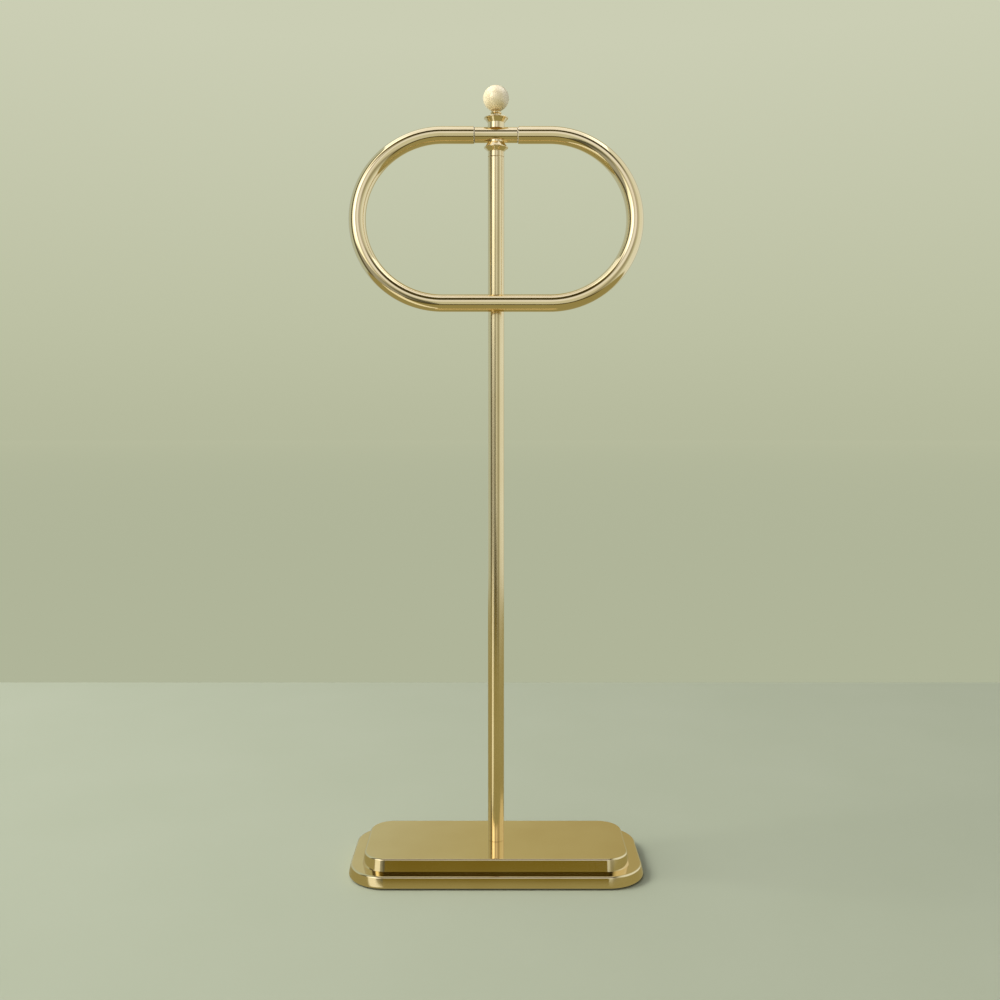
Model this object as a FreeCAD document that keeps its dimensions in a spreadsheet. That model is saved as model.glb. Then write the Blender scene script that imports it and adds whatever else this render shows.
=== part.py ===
import FreeCAD, Part
import math
import os
import types

import Sketcher

# Freestanding towel stand in polished brass: a stepped, weighted base, a slim pole, and an oval
# towel ring that swings on a short cross bar under a ball finial.
# Millimetres and degrees. The origin is on the floor under the pole, +Z is up, +X runs along the
# cross bar, and the ring hangs against the front (-Y) of the pole.

SIZES = {
    # base: two pressed shells, one on the other, with their weight inside; each is measured
    # round its foot, and its walls lean in from there by tier_draft degrees
    "lower_tier_width": 342.0,
    "lower_tier_depth": 152.0,
    "lower_tier_height": 12.5,
    "tier_step": 16.0,
    "lower_corner_radius": 45.0,
    "upper_tier_height": 13.5,
    "tier_draft": 12.0,
    "shell_wall": 2.0,
    "tier_edge_radius": 2.2,
    "rim_edge_radius": 1.5,
    "foot_pad_diameter": 18.0,
    "foot_pad_height": 2.0,
    "foot_pad_inset_x": 34.0,
    "foot_pad_inset_y": 30.0,
    "ballast_margin_x": 19.0,
    "ballast_margin_y": 14.0,
    "ballast_corner_radius": 34.0,
    "ballast_well_diameter": 36.0,
    "cover_thickness": 1.5,
    "cover_clearance": 0.3,
    "cover_window_diameter": 30.0,
    "spacer_diameter": 50.0,
    # four screws that pull the upper tier down on the lower tier
    "tier_screw_inset_x": 34.0,
    "tier_screw_inset_y": 23.0,
    "tier_screw_diameter": 5.0,
    "tier_screw_length": 12.0,
    "tier_screw_head_diameter": 8.5,
    "tier_screw_head_height": 5.0,
    "tier_screw_socket": 4.0,
    "tier_screw_recess": 0.5,
    "boss_diameter": 14.0,
    # four countersunk screws that hold the cover on the ballast
    "cover_screw_inset_x": 55.0,
    "cover_screw_inset_y": 14.0,
    "cover_screw_diameter": 4.0,
    "cover_screw_length": 7.0,
    "cover_screw_head_diameter": 6.8,
    "cover_screw_slot_width": 1.0,
    "cover_screw_slot_depth": 0.6,
    # bolt that pulls the pole down on the base
    "pole_bolt_diameter": 8.0,
    "pole_bolt_length": 35.0,
    "pole_bolt_head_width": 13.0,
    "pole_bolt_head_height": 5.3,
    "flat_washer_diameter": 24.0,
    "flat_washer_thickness": 2.0,
    "spring_washer_diameter": 14.8,
    "spring_washer_thickness": 2.0,
    # pole
    "pole_diameter": 19.0,
    "pole_wall": 1.2,
    "pole_length": 804.5,
    "foot_plug_height": 25.0,
    "top_plug_depth": 20.0,
    "cap_groove_height": 0.7,
    "cap_groove_depth": 0.8,
    "cap_height": 5.5,
    "cap_edge_radius": 0.4,
    # turned collars, cross bar and finial
    "bead_height": 11.1,
    "collar_foot_diameter": 19.4,
    "collar_rim_diameter": 28.2,
    "collar_rim_thickness": 1.8,
    "bead_rim_height": 5.4,
    "bead_neck_height": 0.8,
    "bar_diameter": 18.0,
    "bar_length": 50.0,
    "bar_edge_chamfer": 0.5,
    "saddle_depth": 2.0,
    "collar_cone_start": 4.8,
    "collar_rim_height": 10.3,
    "collar_height": 13.7,
    "neck_diameter": 9.6,
    "neck_reel_diameter": 13.2,
    "neck_height": 5.4,
    "ball_diameter": 30.0,
    "ball_seat_diameter": 10.0,
    "stud_diameter": 6.0,
    "stud_depth_in_cap": 15.0,
    "stud_depth_in_ball": 12.0,
    # pivots and towel ring
    "pivot_diameter": 12.0,
    "pivot_length": 12.0,
    "pivot_thread_diameter": 8.0,
    "pivot_thread_length": 12.0,
    "bush_flange_diameter": 19.2,
    "bush_flange_thickness": 0.8,
    "bush_length": 10.5,
    "ring_tube_diameter": 20.0,
    "ring_tube_wall": 1.0,
    "ring_straight": 62.0,
    "ring_bend_radius": 99.0,
    "ring_rest_gap": 0.3,
    # clearances, all on the radius or on one face
    "thread_clearance": 0.05,
    "push_fit": 0.03,
    "running_fit": 0.05,
    "bolt_clearance": 0.5,
    "stud_clearance": 0.25,
    "bar_end_gap": 0.2,
    "hole_end_gap": 2.0,
}

doc = FreeCAD.newDocument("TowelStand")
sheet = doc.addObject("Spreadsheet::Sheet", "Sizes")


class Length:
    """A size in millimetres and the sheet expression that gives it, kept together."""

    def __init__(self, value, text):
        self.value = value
        self.text = text

    def joined(self, sign, other, value):
        return Length(value, f"({self.text} {sign} {other.text})")

    def __add__(self, other):
        other = as_length(other)
        return self.joined("+", other, self.value + other.value)

    def __sub__(self, other):
        other = as_length(other)
        return self.joined("-", other, self.value - other.value)

    def __mul__(self, other):
        other = as_length(other)
        return self.joined("*", other, self.value * other.value)

    def __truediv__(self, other):
        other = as_length(other)
        return self.joined("/", other, self.value / other.value)


def as_length(number):
    if isinstance(number, Length):
        return number
    return Length(float(number), str(float(number)))


def named_size(row, alias, value):
    sheet.set(f"A{row}", alias)
    sheet.set(f"B{row}", str(value))
    sheet.setAlias(f"B{row}", alias)
    return Length(value, f"Sizes.{alias}")


size = types.SimpleNamespace()
for row, (alias, value) in enumerate(SIZES.items(), start=1):
    setattr(size, alias, named_size(row, alias, value))
doc.recompute()

# How near two places lie to count as one
TOUCH = 1e-4

# Heights of the seats, from the floor up
lower_tier_top = size.foot_pad_height + size.lower_tier_height
base_top = lower_tier_top + size.upper_tier_height
cover_top = size.foot_pad_height + size.cover_thickness
ballast_top = lower_tier_top - size.shell_wall
pole_top = base_top + size.pole_length
cap_top = pole_top + size.cap_groove_height + size.cap_height
bar_axis = cap_top + size.bead_height + size.bar_diameter / 2
collar_base = bar_axis + size.bar_diameter / 2
neck_base = collar_base + size.collar_height
ball_seat = neck_base + size.neck_height

# Sizes that follow from a fit
upper_tier_width = size.lower_tier_width - size.tier_step * 2
upper_tier_depth = size.lower_tier_depth - size.tier_step * 2
upper_corner_radius = size.lower_corner_radius - size.tier_step
ballast_width = size.lower_tier_width - (size.shell_wall + size.ballast_margin_x) * 2
ballast_depth = size.lower_tier_depth - (size.shell_wall + size.ballast_margin_y) * 2
tier_screw_x = upper_tier_width / 2 - size.tier_screw_inset_x
tier_screw_y = upper_tier_depth / 2 - size.tier_screw_inset_y
cover_screw_x = ballast_width / 2 - size.cover_screw_inset_x
cover_screw_y = ballast_depth / 2 - size.cover_screw_inset_y
pole_bore = size.pole_diameter - size.pole_wall * 2
plug_diameter = pole_bore - size.push_fit * 2
stud_hole = size.stud_diameter + size.stud_clearance * 2
stud_thread_hole = size.stud_diameter + size.thread_clearance * 2
bolt_hole = size.pole_bolt_diameter + size.bolt_clearance * 2
tier_screw_hole = size.tier_screw_diameter + size.bolt_clearance * 2
ring_bore = size.ring_tube_diameter - size.ring_tube_wall * 2
tube_end = size.bar_length / 2 + size.bar_end_gap + size.bush_flange_thickness

# A sketch numbers its own axes downwards from -1 (the first holds its origin too), and the
# points of a line or an arc upwards from 1
H_AXIS, V_AXIS = range(-1, -3, -1)
START, END, CENTRE = range(1, 4)
ORIGIN = (H_AXIS, START)


def bind(thing, prop, length):
    thing.setExpression(prop, length.text)


def new_body(label, height=None):
    body = doc.addObject("PartDesign::Body", label)
    body.Label = label
    if height is not None:
        bind(body, "Placement.Base.z", height)
    return body


def new_sketch(body, name, plane, offset=None):
    """A sketch on one of the body's own origin planes, lifted off it by offset."""
    sketch = body.newObject("Sketcher::SketchObject", f"{body.Name}_{name}")
    support = [f for f in body.Origin.OriginFeatures if f.Role == plane][0]
    sketch.AttachmentSupport = [(support, "")]
    sketch.MapMode = "FlatFace"
    if offset is not None:
        bind(sketch, "AttachmentOffset.Base.z", offset)
    return sketch


def constrain(sketch, kind, *where, length=None):
    """Adds a constraint, and ties its value to the sheet if it has one."""
    if length is None:
        sketch.addConstraint(Sketcher.Constraint(kind, *where))
        return
    number = sketch.addConstraint(Sketcher.Constraint(kind, *where, length.value))
    bind(sketch, f"Constraints[{number}]", length)


def place_along(sketch, kind, geometry, end, value):
    """Fixes one coordinate of a point; None puts the point on the axis."""
    if value is None:
        constrain(sketch, "PointOnObject", geometry, end, V_AXIS if kind == "DistanceX" else H_AXIS)
    else:
        constrain(sketch, kind, *ORIGIN, geometry, end, length=value)


def place_point(sketch, geometry, end, x, y):
    place_along(sketch, "DistanceX", geometry, end, x)
    place_along(sketch, "DistanceY", geometry, end, y)


def lean(height):
    """How far a tier's wall leans in over a height."""
    draft = size.tier_draft
    return height * Length(math.tan(math.radians(draft.value)), f"tan({draft.text})")


def number(length):
    return 0.0 if length is None else length.value


def point(x, y):
    return FreeCAD.Vector(number(x), number(y), 0)


def add_circle(sketch, diameter, x=None, y=None):
    circle = Part.Circle(point(x, y), FreeCAD.Vector(0, 0, 1), diameter.value / 2)
    geometry = sketch.addGeometry(circle)
    place_point(sketch, geometry, CENTRE, x, y)
    constrain(sketch, "Diameter", geometry, length=diameter)


def add_outline(sketch, corners):
    """A closed outline. Each corner is (x, y), or (x, y, arc) where the line to it is an arc:
    arc is its centre as (x, y) and 1 if it turns anticlockwise from the corner before, or -1."""
    count = len(corners)
    ends = []
    for i, corner in enumerate(corners):
        a, b = point(*corners[i - 1][:2]), point(*corner[:2])
        if len(corner) == 2:
            geometry = sketch.addGeometry(Part.LineSegment(a, b))
            ends.append((geometry, START, END))
            continue
        centre, turn = corner[2]
        middle = point(*centre)
        circle = Part.Circle(middle, FreeCAD.Vector(0, 0, 1), (a - middle).Length)
        first, last = (a, b) if turn > 0 else (b, a)
        start = math.atan2(first.y - middle.y, first.x - middle.x)
        stop = math.atan2(last.y - middle.y, last.x - middle.x)
        geometry = sketch.addGeometry(Part.ArcOfCircle(circle, start, stop))
        ends.append((geometry, START, END) if turn > 0 else (geometry, END, START))
    for i in range(count):
        geometry, _, end = ends[i]
        after, begin, _ = ends[(i + 1) % count]
        constrain(sketch, "Coincident", geometry, end, after, begin)
        place_point(sketch, geometry, end, *corners[i][:2])
    for (geometry, _, _), corner in zip(ends, corners):
        if len(corner) == 3:
            centre = corner[2][0]
            above = abs(number(corner[0]) - number(centre[0])) < TOUCH
            kind, value = ("DistanceX", centre[0]) if above else ("DistanceY", centre[1])
            place_along(sketch, kind, geometry, CENTRE, value)


def add_rounded_rectangle(sketch, width, depth, radius):
    """A rectangle about the origin with four equal round corners."""
    half_x, half_y, r = width.value / 2, depth.value / 2, radius.value
    up = FreeCAD.Vector(0, 0, 1)
    lines, arcs = [], []
    for turn in range(4):
        along, across = (half_x, half_y) if turn % 2 == 0 else (half_y, half_x)
        spin = FreeCAD.Rotation(up, 90 * turn)
        start = spin.multVec(FreeCAD.Vector(r - along, -across, 0))
        stop = spin.multVec(FreeCAD.Vector(along - r, -across, 0))
        centre = spin.multVec(FreeCAD.Vector(along - r, r - across, 0))
        lines.append(sketch.addGeometry(Part.LineSegment(start, stop)))
        circle = Part.Circle(centre, up, r)
        first = math.radians(90 * (turn - 1))
        arcs.append(sketch.addGeometry(Part.ArcOfCircle(circle, first, first + math.pi / 2)))
    for i in range(4):
        constrain(sketch, "Tangent", lines[i], END, arcs[i], START)
        constrain(sketch, "Tangent", arcs[i], END, lines[(i + 1) % 4], START)
        constrain(sketch, "Horizontal" if i % 2 == 0 else "Vertical", lines[i])
    for arc in arcs[1:]:
        constrain(sketch, "Equal", arcs[0], arc)
    constrain(sketch, "Radius", arcs[0], length=radius)
    constrain(sketch, "Symmetric", arcs[0], CENTRE, arcs[2], CENTRE, *ORIGIN)
    constrain(sketch, "DistanceX", arcs[3], CENTRE, arcs[0], CENTRE, length=width - radius * 2)
    constrain(sketch, "DistanceY", arcs[0], CENTRE, arcs[1], CENTRE, length=depth - radius * 2)


def pad(body, sketch, length, draft=None):
    """Raises the sketch by a length; with a draft its walls lean in by that angle."""
    feature = body.newObject("PartDesign::Pad", f"{sketch.Name}_pad")
    feature.Profile = sketch
    bind(feature, "Length", length)
    if draft is not None:
        bind(feature, "TaperAngle", draft * -1)
    doc.recompute()
    return feature


def pocket(body, sketch, depth=None, up=True, both_ways=False, draft=None):
    """Cuts from the sketch's plane to a depth or right through; up is the way that it faces."""
    before = body.Shape.Volume
    feature = body.newObject("PartDesign::Pocket", f"{sketch.Name}_pocket")
    feature.Profile = sketch
    feature.Reversed = up
    feature.Midplane = both_ways
    if depth is None:
        feature.Type = "ThroughAll"
    else:
        bind(feature, "Length", depth)
    if draft is not None:
        bind(feature, "TaperAngle", draft * -1)
    doc.recompute()
    if body.Shape.Volume >= before:
        raise RuntimeError(f"{feature.Name} cuts nothing")
    return feature


def revolve(body, sketch):
    feature = body.newObject("PartDesign::Revolution", f"{sketch.Name}_turned")
    feature.Profile = sketch
    feature.ReferenceAxis = (sketch, ["V_Axis"])
    feature.Angle = 360
    doc.recompute()
    return feature


def edges_where(body, test):
    """Names of the body's edges whose every end passes the test."""
    tip = body.Tip.Shape
    return [
        f"Edge{i}"
        for i, edge in enumerate(tip.Edges, start=1)
        if all(test(vertex.Point) for vertex in edge.Vertexes)
    ]


def dress(body, kind, prop, names, length):
    """Rounds or bevels the named edges of the body."""
    base = body.Tip
    feature = body.newObject(f"PartDesign::{kind}", f"{body.Name}_{kind.lower()}_{len(body.Group)}")
    feature.Base = (base, names)
    bind(feature, prop, length)
    doc.recompute()
    return feature


def at_height(height):
    return lambda p: abs(p.z - height.value) < TOUCH


def turned(label, height, corners):
    """A turned piece: its half section, as radius and height pairs, spun about the pole's axis."""
    body = new_body(label, height)
    sketch = new_sketch(body, "section", "XZ_Plane")
    add_outline(sketch, corners)
    revolve(body, sketch)
    return body


def half_round(rim_radius, middle, thickness):
    """The corners of a rounded rim, from its underside to its top."""
    inner = rim_radius - thickness / 2
    low, high = middle - thickness / 2, middle + thickness / 2
    return [(inner, low), (inner, high, ((inner, middle), 1))]


def mirrored(source, normal, name):
    feature = doc.addObject("Part::Mirroring", name)
    feature.Source = source
    feature.Normal = normal
    return feature


def compound(label, members):
    feature = doc.addObject("Part::Compound", label)
    feature.Label = label
    feature.Links = members
    return feature


def at_four_corners(label, single):
    """Four copies of a piece that is modelled at the right rear corner."""
    left = mirrored(single, FreeCAD.Vector(1, 0, 0), f"{label}_left")
    rear_pair = compound(f"{label}_rear_pair", [single, left])
    front_pair = mirrored(rear_pair, FreeCAD.Vector(0, 1, 0), f"{label}_front_pair")
    group = compound(label, [rear_pair, front_pair])
    doc.recompute()
    return group


def four_circles(sketch, diameter, x, y):
    for sign_x in (1, -1):
        for sign_y in (1, -1):
            add_circle(sketch, diameter, x * sign_x, y * sign_y)


def tier_shell(label, height, width, depth, corner_radius, tier_height):
    """One tier of the base: a pressed shell, open below, with leaning walls and a soft top edge."""
    body = new_body(label, height)
    outline = new_sketch(body, "outline", "XY_Plane")
    add_rounded_rectangle(outline, width, depth, corner_radius)
    pad(body, outline, tier_height, size.tier_draft)
    dress(body, "Fillet", "Radius", edges_where(body, at_height(tier_height)), size.tier_edge_radius)
    inside = new_sketch(body, "inside", "XY_Plane")
    wall = size.shell_wall
    add_rounded_rectangle(inside, width - wall * 2, depth - wall * 2, corner_radius - wall)
    pocket(body, inside, tier_height - wall, draft=size.tier_draft)
    bolt_sketch = new_sketch(body, "bolt_hole", "XY_Plane")
    add_circle(bolt_sketch, bolt_hole)
    pocket(body, bolt_sketch)
    return body


def lower_tier():
    body = tier_shell(
        "base_lower_tier",
        size.foot_pad_height,
        size.lower_tier_width,
        size.lower_tier_depth,
        size.lower_corner_radius,
        size.lower_tier_height,
    )
    screw_holes = new_sketch(body, "screw_holes", "XY_Plane")
    four_circles(screw_holes, tier_screw_hole, tier_screw_x, tier_screw_y)
    pocket(body, screw_holes)
    half_width = size.lower_tier_width.value / 2
    half_depth = size.lower_tier_depth.value / 2
    reach = size.shell_wall.value / 2

    def on_outer_rim(p):
        beyond = abs(p.x) > half_width - reach or abs(p.y) > half_depth - reach
        return abs(p.z) < TOUCH and beyond

    dress(body, "Fillet", "Radius", edges_where(body, on_outer_rim)[:1], size.rim_edge_radius)
    return body


def upper_tier():
    return tier_shell(
        "base_upper_tier",
        lower_tier_top,
        upper_tier_width,
        upper_tier_depth,
        upper_corner_radius,
        size.upper_tier_height,
    )


def spacer():
    """Steel slug inside the upper tier, so that the pole's bolt can't crush the shell."""
    body = new_body("base_spacer", lower_tier_top)
    outline = new_sketch(body, "outline", "XY_Plane")
    add_circle(outline, size.spacer_diameter)
    add_circle(outline, bolt_hole)
    pad(body, outline, size.upper_tier_height - size.shell_wall)
    return body


def tier_bosses():
    """Tapped steel bosses welded under the upper tier's top."""
    body = new_body("tier_boss", lower_tier_top)
    outline = new_sketch(body, "outline", "XY_Plane")
    add_circle(outline, size.boss_diameter, tier_screw_x, tier_screw_y)
    pad(body, outline, size.upper_tier_height - size.shell_wall)
    thread = new_sketch(body, "thread", "XY_Plane")
    thread_hole = size.tier_screw_diameter + size.thread_clearance * 2
    add_circle(thread, thread_hole, tier_screw_x, tier_screw_y)
    pocket(body, thread, tier_screw_tip - lower_tier_top + size.hole_end_gap)
    return at_four_corners("tier_bosses", body)


def ballast():
    """Cast iron slab that fills the lower tier, with a well for the pole's bolt."""
    body = new_body("ballast_slab", cover_top)
    outline = new_sketch(body, "outline", "XY_Plane")
    add_rounded_rectangle(
        outline, ballast_width, ballast_depth, size.ballast_corner_radius
    )
    pad(body, outline, ballast_top - cover_top)
    well = new_sketch(body, "well", "XY_Plane")
    add_circle(well, size.ballast_well_diameter)
    four_circles(well, tier_screw_hole, tier_screw_x, tier_screw_y)
    pocket(body, well)
    seats = new_sketch(body, "seats", "XY_Plane")
    seat_diameter = size.tier_screw_head_diameter + size.bolt_clearance * 2
    four_circles(seats, seat_diameter, tier_screw_x, tier_screw_y)
    pocket(body, seats, tier_screw_seat - cover_top)
    threads = new_sketch(body, "threads", "XY_Plane")
    thread_hole = size.cover_screw_diameter + size.thread_clearance * 2
    four_circles(threads, thread_hole, cover_screw_x, cover_screw_y)
    pocket(body, threads)
    return body


def cover():
    """Steel sheet that closes the lower tier, with a window for a spanner on the pole's bolt."""
    body = new_body("cover_sheet", size.foot_pad_height)
    outline = new_sketch(body, "outline", "XY_Plane")
    gap = size.shell_wall + lean(size.cover_thickness) + size.cover_clearance
    add_rounded_rectangle(
        outline,
        size.lower_tier_width - gap * 2,
        size.lower_tier_depth - gap * 2,
        size.lower_corner_radius - gap,
    )
    pad(body, outline, size.cover_thickness)
    window = new_sketch(body, "window", "XY_Plane")
    add_circle(window, size.cover_window_diameter)
    pocket(body, window)
    holes = new_sketch(body, "screw_holes", "XY_Plane")
    hole = size.cover_screw_diameter + size.thread_clearance * 2
    four_circles(holes, hole, cover_screw_x, cover_screw_y)
    pocket(body, holes)
    sinks = cover_screw_cone("cover_sink", size.thread_clearance)
    sheet_with_sinks = doc.addObject("Part::Cut", "bottom_cover")
    sheet_with_sinks.Base = body
    sheet_with_sinks.Tool = at_four_corners("cover_sinks", sinks)
    doc.recompute()
    return sheet_with_sinks


def cover_screw_cone(name, clearance):
    """The countersunk head's cone, grown on the radius by a clearance."""
    cone = doc.addObject("Part::Cone", name)
    bind(cone, "Radius1", size.cover_screw_head_diameter / 2 + clearance)
    bind(cone, "Radius2", size.cover_screw_diameter / 2 + clearance)
    bind(cone, "Height", (size.cover_screw_head_diameter - size.cover_screw_diameter) / 2)
    bind(cone, "Placement.Base.x", cover_screw_x)
    bind(cone, "Placement.Base.y", cover_screw_y)
    bind(cone, "Placement.Base.z", size.foot_pad_height)
    return cone


def cover_screws():
    head = cover_screw_cone("cover_screw_head", as_length(0))
    shank = doc.addObject("Part::Cylinder", "cover_screw_shank")
    bind(shank, "Radius", size.cover_screw_diameter / 2)
    bind(shank, "Height", size.cover_screw_length)
    slot = doc.addObject("Part::Box", "cover_screw_slot")
    bind(slot, "Length", size.cover_screw_head_diameter * 2)
    bind(slot, "Width", size.cover_screw_slot_width)
    bind(slot, "Height", size.cover_screw_slot_depth)
    bind(slot, "Placement.Base.x", cover_screw_x - size.cover_screw_head_diameter)
    bind(slot, "Placement.Base.y", cover_screw_y - size.cover_screw_slot_width / 2)
    for piece in (shank, slot):
        bind(piece, "Placement.Base.z", size.foot_pad_height)
    bind(shank, "Placement.Base.x", cover_screw_x)
    bind(shank, "Placement.Base.y", cover_screw_y)
    whole = doc.addObject("Part::Fuse", "cover_screw_blank")
    whole.Base = head
    whole.Tool = shank
    screw = doc.addObject("Part::Cut", "cover_screw")
    screw.Base = whole
    screw.Tool = slot
    return at_four_corners("cover_screws", screw)


def tier_screws():
    """Socket head screws, each in its seat in the ballast."""
    body = new_body("tier_screw")
    x, y = tier_screw_x, tier_screw_y
    head = new_sketch(body, "head", "XY_Plane", tier_screw_seat - size.tier_screw_head_height)
    add_circle(head, size.tier_screw_head_diameter, x, y)
    pad(body, head, size.tier_screw_head_height)
    shank = new_sketch(body, "shank", "XY_Plane", tier_screw_seat)
    add_circle(shank, size.tier_screw_diameter, x, y)
    pad(body, shank, size.tier_screw_length)
    key = new_sketch(body, "key", "XY_Plane", tier_screw_seat - size.tier_screw_head_height)
    add_hexagon(key, size.tier_screw_socket, x, y)
    pocket(body, key, size.tier_screw_head_height / 2)
    return at_four_corners("tier_screws", body)


def add_hexagon(sketch, flats, x=None, y=None):
    """A regular hexagon measured across its flats, with a flat facing each side in X."""
    side_x, side_y = flats / 2, flats / (2 * math.sqrt(3))
    middle_x, middle_y = x or as_length(0), y or as_length(0)
    corners = []
    for across, along in ((1, -1), (1, 1), (0, 2), (-1, 1), (-1, -1), (0, -2)):
        corners.append((middle_x + side_x * across, middle_y + side_y * along))
    add_outline(sketch, corners)


def foot_pads():
    """Rubber pads stuck under the cover."""
    body = new_body("foot_pad")
    outline = new_sketch(body, "outline", "XY_Plane")
    x = size.lower_tier_width / 2 - size.foot_pad_inset_x
    y = size.lower_tier_depth / 2 - size.foot_pad_inset_y
    add_circle(outline, size.foot_pad_diameter, x, y)
    pad(body, outline, size.foot_pad_height)
    return at_four_corners("foot_pads", body)


def washer(label, height, diameter, thickness):
    body = new_body(label, height)
    outline = new_sketch(body, "outline", "XY_Plane")
    add_circle(outline, diameter)
    add_circle(outline, bolt_hole)
    pad(body, outline, thickness)
    return body


def spring_washer():
    """Split washer, drawn pressed flat as it is under load."""
    body = washer(
        "pole_bolt_spring_washer",
        pole_bolt_seat,
        size.spring_washer_diameter,
        size.spring_washer_thickness,
    )
    split = new_sketch(body, "split", "XY_Plane")
    outer, width = size.spring_washer_diameter, size.spring_washer_thickness / 4
    corners = [(None, width * -1), (outer, width * -1), (outer, width), (None, width)]
    add_outline(split, corners)
    pocket(body, split)
    return body


def pole_bolt():
    body = new_body("pole_bolt", pole_bolt_seat)
    head = new_sketch(body, "head", "XY_Plane", size.pole_bolt_head_height * -1)
    add_hexagon(head, size.pole_bolt_head_width)
    pad(body, head, size.pole_bolt_head_height)
    shank = new_sketch(body, "shank", "XY_Plane")
    add_circle(shank, size.pole_bolt_diameter)
    pad(body, shank, size.pole_bolt_length)
    return body


def pole():
    body = new_body("pole_tube", base_top)
    outline = new_sketch(body, "outline", "XY_Plane")
    add_circle(outline, size.pole_diameter)
    add_circle(outline, pole_bore)
    pad(body, outline, size.pole_length)
    return body


def foot_plug():
    """Tapped steel plug brazed into the foot of the pole."""
    body = new_body("pole_foot_plug", base_top)
    outline = new_sketch(body, "outline", "XY_Plane")
    add_circle(outline, plug_diameter)
    add_circle(outline, size.pole_bolt_diameter + size.thread_clearance * 2)
    pad(body, outline, size.foot_plug_height)
    return body


def pole_cap():
    """Turned plug with a plain head as wide as the pole and a groove under it."""
    bore = stud_thread_hole / 2
    spigot = plug_diameter / 2
    groove = size.pole_diameter / 2 - size.cap_groove_depth
    head = size.pole_diameter / 2
    edge = size.cap_edge_radius
    shoulder = size.top_plug_depth + size.cap_groove_height
    top = shoulder + size.cap_height
    corners = [
        (bore, None),
        (spigot, None),
        (spigot, size.top_plug_depth),
        (groove, size.top_plug_depth),
        (groove, shoulder),
        (head, shoulder),
        (head, top - edge),
        (head - edge, top, ((head - edge, top - edge), 1)),
        (bore, top),
    ]
    return turned("pole_cap", pole_top - size.top_plug_depth, corners)


def lower_bead():
    """Turned collar under the cross bar, hollowed at its top to sit round the bar."""
    bore = stud_hole / 2
    neck = size.pole_diameter / 2 - size.cap_edge_radius
    top = size.bead_height + size.saddle_depth
    foot = size.collar_foot_diameter / 2
    rim = half_round(size.collar_rim_diameter / 2, size.bead_rim_height, size.collar_rim_thickness)
    corners = [
        (bore, None),
        (neck, None),
        (neck, size.bead_neck_height),
        *rim,
        (foot, size.bead_height),
        (foot, top),
        (bore, top),
    ]
    body = turned("lower_bead", cap_top, corners)
    cut_saddle(body, size.bead_height + size.bar_diameter / 2)
    return body


def cut_saddle(body, height):
    """Hollows a collar so that it sits round the cross bar."""
    saddle = new_sketch(body, "saddle", "YZ_Plane")
    add_circle(saddle, size.bar_diameter + size.push_fit * 2, None, height)
    pocket(body, saddle, both_ways=True)


def upper_collar():
    """Turned collar on the cross bar: a round foot that opens into a thin saucer."""
    bore = stud_hole / 2
    foot = size.collar_foot_diameter / 2
    sunk = size.saddle_depth
    rim = half_round(
        size.collar_rim_diameter / 2, sunk + size.collar_rim_height, size.collar_rim_thickness
    )
    corners = [
        (bore, None),
        (foot, None),
        (foot, sunk + size.collar_cone_start),
        *rim,
        (size.neck_diameter / 2, sunk + size.collar_height),
        (bore, sunk + size.collar_height),
    ]
    body = turned("upper_collar", collar_base - sunk, corners)
    cut_saddle(body, sunk - size.bar_diameter / 2)
    return body


def finial_neck():
    """Turned reel between the saucer and the ball."""
    bore = stud_hole / 2
    waist = size.neck_diameter / 2
    reel = size.neck_reel_diameter / 2
    rim = half_round(reel, size.neck_height / 2, size.neck_height / 2)
    corners = [
        (bore, None),
        (waist, None),
        (waist, size.neck_height / 4),
        *rim,
        (waist, size.neck_height * 0.75),
        (waist, size.neck_height),
        (bore, size.neck_height),
    ]
    return turned("finial_neck", neck_base, corners)


def finial_ball():
    """Turned ball with a flat seat and a blind tapped hole."""
    radius = size.ball_diameter / 2
    seat = size.ball_seat_diameter / 2
    rise = Length(
        math.sqrt(radius.value**2 - seat.value**2),
        f"sqrt({radius.text} ^ 2 - {seat.text} ^ 2)",
    )
    bore = stud_thread_hole / 2
    hole_top = size.stud_depth_in_ball + size.hole_end_gap
    corners = [
        (bore, None),
        (seat, None),
        (None, rise + radius, ((None, rise), 1)),
        (None, hole_top),
        (bore, hole_top),
    ]
    return turned("finial_ball", ball_seat, corners)


def finial_stud():
    """Threaded rod that pulls the ball, collars and cross bar down on the pole's cap."""
    body = new_body("finial_stud", cap_top - size.stud_depth_in_cap)
    outline = new_sketch(body, "outline", "XY_Plane")
    add_circle(outline, size.stud_diameter)
    length = ball_seat + size.stud_depth_in_ball - cap_top + size.stud_depth_in_cap
    pad(body, outline, length)
    return body


def cross_bar():
    """Solid bar across the top of the pole, drilled through for the stud and tapped at each end."""
    body = new_body("cross_bar", bar_axis)
    outline = new_sketch(body, "outline", "YZ_Plane", size.bar_length / -2)
    add_circle(outline, size.bar_diameter)
    pad(body, outline, size.bar_length)
    ends = edges_where(body, lambda p: abs(abs(p.x) - size.bar_length.value / 2) < TOUCH)
    dress(body, "Chamfer", "Size", ends, size.bar_edge_chamfer)
    stud = new_sketch(body, "stud_hole", "XY_Plane")
    add_circle(stud, stud_hole)
    pocket(body, stud, both_ways=True)
    thread_hole = size.pivot_thread_diameter + size.thread_clearance * 2
    depth = size.pivot_thread_length + size.hole_end_gap
    for side, sign in (("right", 1), ("left", -1)):
        thread = new_sketch(body, f"{side}_thread", "YZ_Plane", size.bar_length * sign / 2)
        add_circle(thread, thread_hole)
        pocket(body, thread, depth, up=sign < 0)
    return body


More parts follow.
